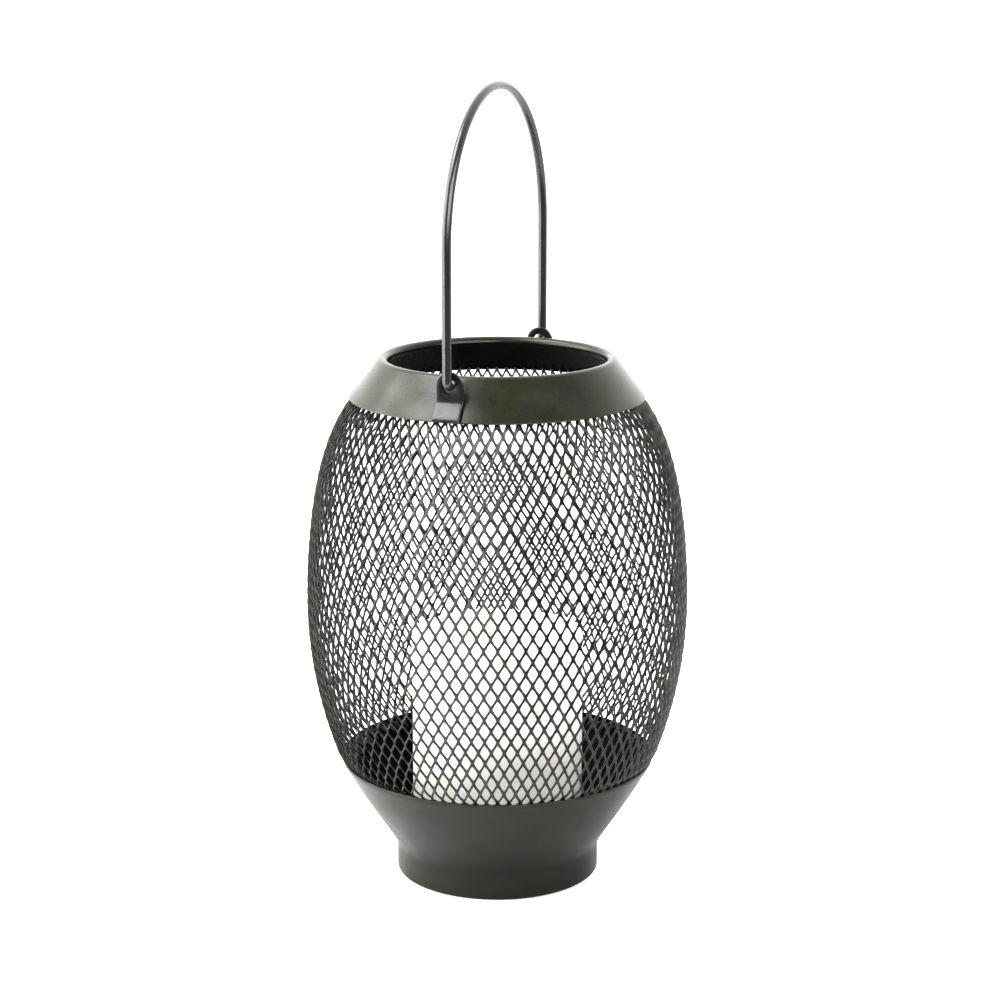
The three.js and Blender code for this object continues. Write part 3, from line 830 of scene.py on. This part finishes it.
def springs():
    """The coil above each cell."""
    turns, steps, coil_r, height = 3.5, 112, 4.2, 5.4
    low = CANDLE_Z + 55.3
    for number, x in ((1, -8.6), (2, 8.6)):
        path = []
        for i in range(steps + 1):
            t = i / steps
            a = 2 * math.pi * turns * t
            path.append((x + coil_r * math.cos(a), coil_r * math.sin(a), low + height * t))
        made = tube(f"coil_spring_{number}", path, 0.4, 10)
        place(made, "candle", plated_finish, [f"contact_spring_{number}"])


def lamp_leads():
    """Two insulated wires from the board up to the lamp."""
    for number, x in ((1, -1.1), (2, 1.1)):
        route = [(24.6, 14.6), (24.6, 40), (24.6, 64), (22.6, 68), (16, 68.4), (6, 68.4)]
        route += [(1.4, 69.6), (0, 74), (0, 79.4)]
        path = [(x, y, CANDLE_Z + z) for y, z in smooth_chain(route, 6)]
        made = tube(f"lamp_lead_{number}", path, 0.48, 12)
        place(made, "candle", insulation_finish, [f"led_wire_{number}"])


base_bowl()
candle_plate()
cage()
collar()
ear("ear_strap_left", -1, "ear_left")
ear("ear_strap_right", 1, "ear_right")
bail()
wax_pillar()
flame()
springs()
lamp_leads()


# ---------------------------------------------------------------- CAD nodes that stay
KEPT = {
    "candle_core": core_finish,
    "battery_cover": core_finish,
    "bridge_contact": plated_finish,
    "battery_1": jacket_finish,
    "battery_2": jacket_finish,
    "circuit_board": board_finish,
    "control_chip": chip_finish,
    "switch_body": plated_finish,
    "switch_slider": switch_finish,
    "led": lens_finish,
}
for node_name, finish in KEPT.items():
    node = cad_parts[node_name]
    node.data.materials.clear()
    node.data.materials.append(finish)


# ---------------------------------------------------------------- studio
TOWARDS_CAMERA = Vector((-0.9455, -0.3256, 0))
LEFT = Vector((-0.3256, 0.9455, 0))
DARK_SIDE = TOWARDS_CAMERA * 0.966 - LEFT * 0.259  # a little to the right of the camera's side
LIGHTS_AIM = Vector((0, 0, 0.14))
TABLE_FRONT = 0.3  # m from the lantern to the table's near edge
TABLE_REACH = 3  # m from the lantern to its other edges
TABLE_DROP = 0.0002  # m below the foot, so that the two faces don't meet


def world_light():
    """White all round but darker on the camera's side of the room, most of all a little to the
    right of it; plain white to the eye."""
    world = bpy.data.worlds.new("studio")
    bpy.context.scene.world = world
    world.use_nodes = True
    nodes, links = world.node_tree.nodes, world.node_tree.links
    nodes.clear()
    coordinates = nodes.new("ShaderNodeTexCoord")
    towards = nodes.new("ShaderNodeVectorMath")
    towards.operation = "DOT_PRODUCT"
    towards.inputs[1].default_value = DARK_SIDE
    links.new(coordinates.outputs["Generated"], towards.inputs[0])
    front = spread(nodes, links, towards.outputs["Value"], 0.0, 0.5, 1.5, 0.15)
    behind = spread(nodes, links, towards.outputs["Value"], -0.7, 0.0, 0.9, 0.0)
    level = nodes.new("ShaderNodeMath")
    level.operation = "ADD"
    links.new(front, level.inputs[0])
    links.new(behind, level.inputs[1])
    room = nodes.new("ShaderNodeBackground")
    links.new(level.outputs[0], room.inputs["Strength"])
    backdrop = nodes.new("ShaderNodeBackground")
    backdrop.inputs["Strength"].default_value = 1.3
    for shader in (room, backdrop):
        shader.inputs["Color"].default_value = (1, 1, 1, 1)
    seen = nodes.new("ShaderNodeLightPath").outputs["Is Camera Ray"]
    mix = nodes.new("ShaderNodeMixShader")
    links.new(seen, mix.inputs[0])
    links.new(room.outputs[0], mix.inputs[1])
    links.new(backdrop.outputs[0], mix.inputs[2])
    links.new(mix.outputs[0], nodes.new("ShaderNodeOutputWorld").inputs["Surface"])


def softbox(name, turn_deg, lift_deg, distance, width, height, watts):
    """A rectangular light, turned from the camera's side towards the left, facing the lantern."""
    data = bpy.data.lights.new(name, "AREA")
    data.shape = "RECTANGLE"
    data.size, data.size_y = width, height
    data.energy = watts
    light = bpy.data.objects.new(name, data)
    bpy.context.scene.collection.objects.link(light)
    turn, lift = math.radians(turn_deg), math.radians(lift_deg)
    flat = TOWARDS_CAMERA * math.cos(turn) + LEFT * math.sin(turn)
    away = flat * math.cos(lift) + Vector((0, 0, math.sin(lift)))
    light.location = LIGHTS_AIM + distance * away
    light.rotation_euler = (LIGHTS_AIM - light.location).to_track_quat("-Z", "Y").to_euler()


def floor():
    """White paper on a table, which ends in front of the lantern."""
    near, far = TOWARDS_CAMERA * TABLE_FRONT, TOWARDS_CAMERA * -TABLE_REACH
    aside, down = LEFT * TABLE_REACH, Vector((0, 0, -TABLE_DROP))
    corners = [near - aside, near + aside, far + aside, far - aside]
    made = mesh_object("floor", [(c + down) / MM for c in corners], [(0, 1, 2, 3)])
    finish, nodes, links, shader = material("paper")
    vector = object_vector(nodes)
    cloud = spread(nodes, links, value_noise(nodes, links, vector, 3, 3), 0.3, 0.7, 0, 1)
    colour = mix_colours(nodes, links, cloud, (0.83, 0.83, 0.82), (0.85, 0.85, 0.845))
    links.new(colour, shader.inputs["Base Color"])
    shader.inputs["Roughness"].default_value = 0.9
    shader.inputs["Specular IOR Level"].default_value = 0.1
    shader.inputs["Emission Color"].default_value = (1, 1, 1, 1)
    shader.inputs["Emission Strength"].default_value = 0.05
    made.data.materials.append(finish)


world_light()
softbox("window", 84, 16, 1.6, 1.9, 1.55, 50)
softbox("strip", 57, -10, 1.4, 0.13, 0.5, 3.4)
softbox("canopy", 79, 60, 1.5, 1.05, 0.68, 23)
softbox("front", -32, 31, 1.4, 1.5, 0.9, 26)
floor()

look = bpy.context.scene.view_settings
look.view_transform = "Standard"
look.look = "None"
look.exposure = 0.35
look.gamma = 0.8
